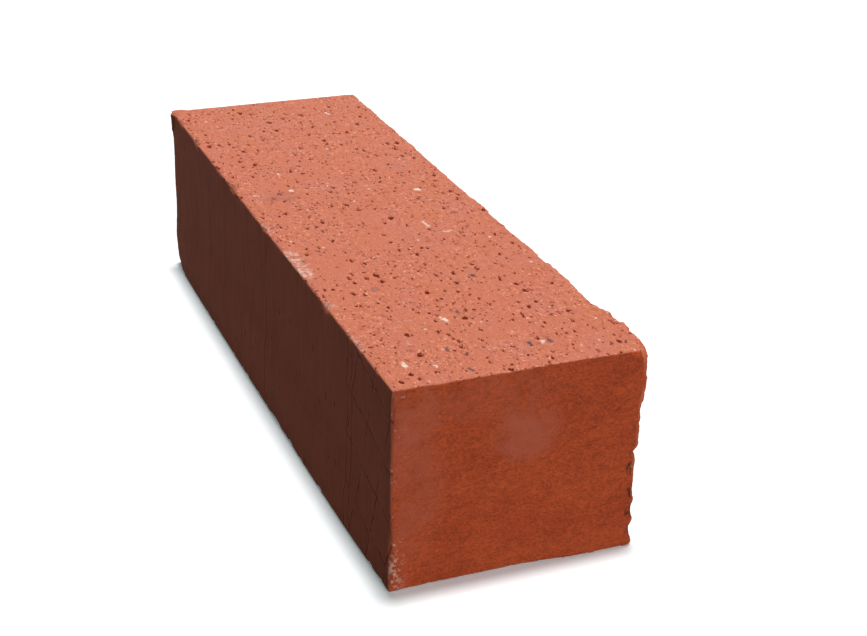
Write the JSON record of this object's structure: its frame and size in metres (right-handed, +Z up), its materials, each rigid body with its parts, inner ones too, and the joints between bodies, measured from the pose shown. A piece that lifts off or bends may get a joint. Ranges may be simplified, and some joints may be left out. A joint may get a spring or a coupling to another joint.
{
  "type": "facing brick",
  "caption": "Solid extruded red clay facing brick with wire-cut beds, smooth die-skinned ends and stretcher, and a rough torn stretcher face, for laying in mortar.",
  "frame": {"origin": "middle of the lower bed face, on the surface the brick lies on", "axes": "+X along the length, +Y across the width towards the rough stretcher face, +Z up out of the upper bed"},
  "size_m": [0.29, 0.09, 0.076],
  "materials": {
    "fired_clay": "unglazed fired red clay, matt, open and pitted on the cut beds, smooth on the die skin"
  },
  "bodies": {
    "root": {"brick": "fired_clay"}
  },
  "joints": []
}
